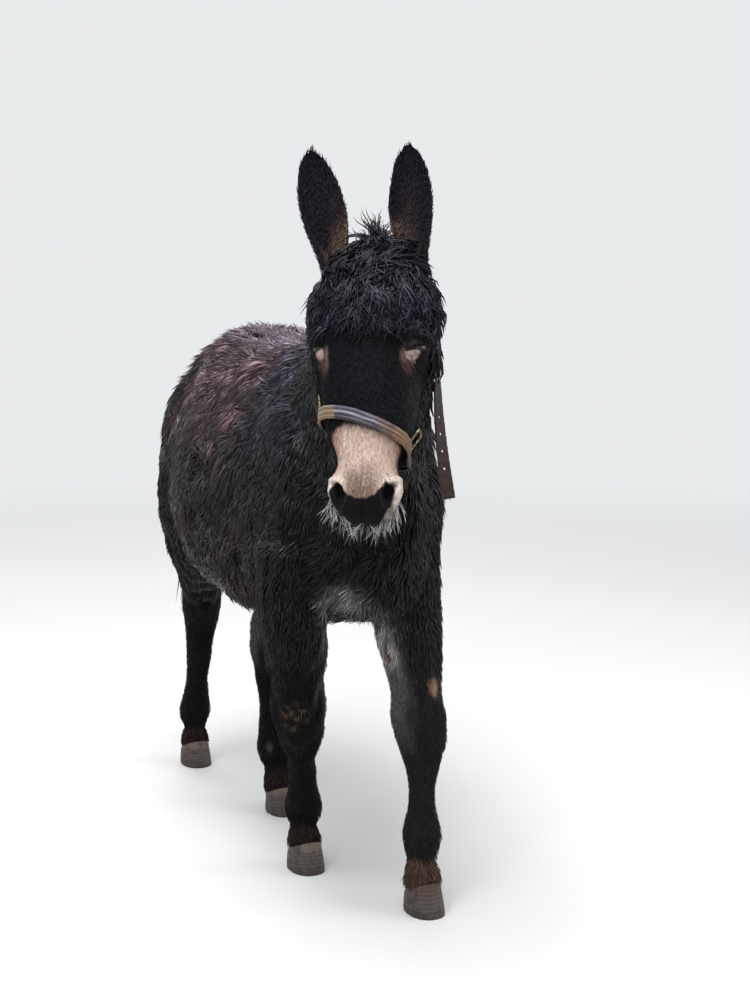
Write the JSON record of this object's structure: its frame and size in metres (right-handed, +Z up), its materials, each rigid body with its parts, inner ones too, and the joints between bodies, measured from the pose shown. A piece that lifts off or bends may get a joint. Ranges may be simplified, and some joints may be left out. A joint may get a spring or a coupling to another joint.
{
  "type": "donkey",
  "caption": "Life-size standing donkey in a thick dark winter coat, in mid-stride with its head turned, wearing a plain leather headcollar.",
  "frame": {"origin": "on the floor, under the middle of the figure's box", "axes": "-Y the way the donkey walks, +X its left side, +Z up"},
  "size_m": [0.5428, 1.5632, 1.505],
  "materials": {
    "winter_coat": "long damp fur, near black with a brown cast",
    "long_hair": "coarse black hair",
    "hoof_horn": "worn horn with growth rings",
    "eye_gloss": "wet dark brown",
    "old_leather": "weathered, stitched strap",
    "dull_brass": "dull and scratched"
  },
  "bodies": {
    "root": {"ear_left": "winter_coat", "ear_right": "winter_coat", "eye_left": "eye_gloss", "eye_right": "eye_gloss", "foreleg_left": "winter_coat", "foreleg_right": "winter_coat", "halter_buckle": "dull_brass", "halter_headpiece": "old_leather", "halter_loose_end": "old_leather", "halter_noseband": "old_leather", "halter_ring_left": "dull_brass", "halter_ring_right": "dull_brass", "head": "winter_coat", "hindleg_left": "winter_coat", "hindleg_right": "winter_coat", "hoof_fore_left": "hoof_horn", "hoof_fore_right": "hoof_horn", "hoof_hind_left": "hoof_horn", "hoof_hind_right": "hoof_horn", "mane": "long_hair", "neck": "winter_coat", "tail_dock": "winter_coat", "tail_switch": "long_hair", "trunk": "winter_coat"}
  },
  "joints": []
}
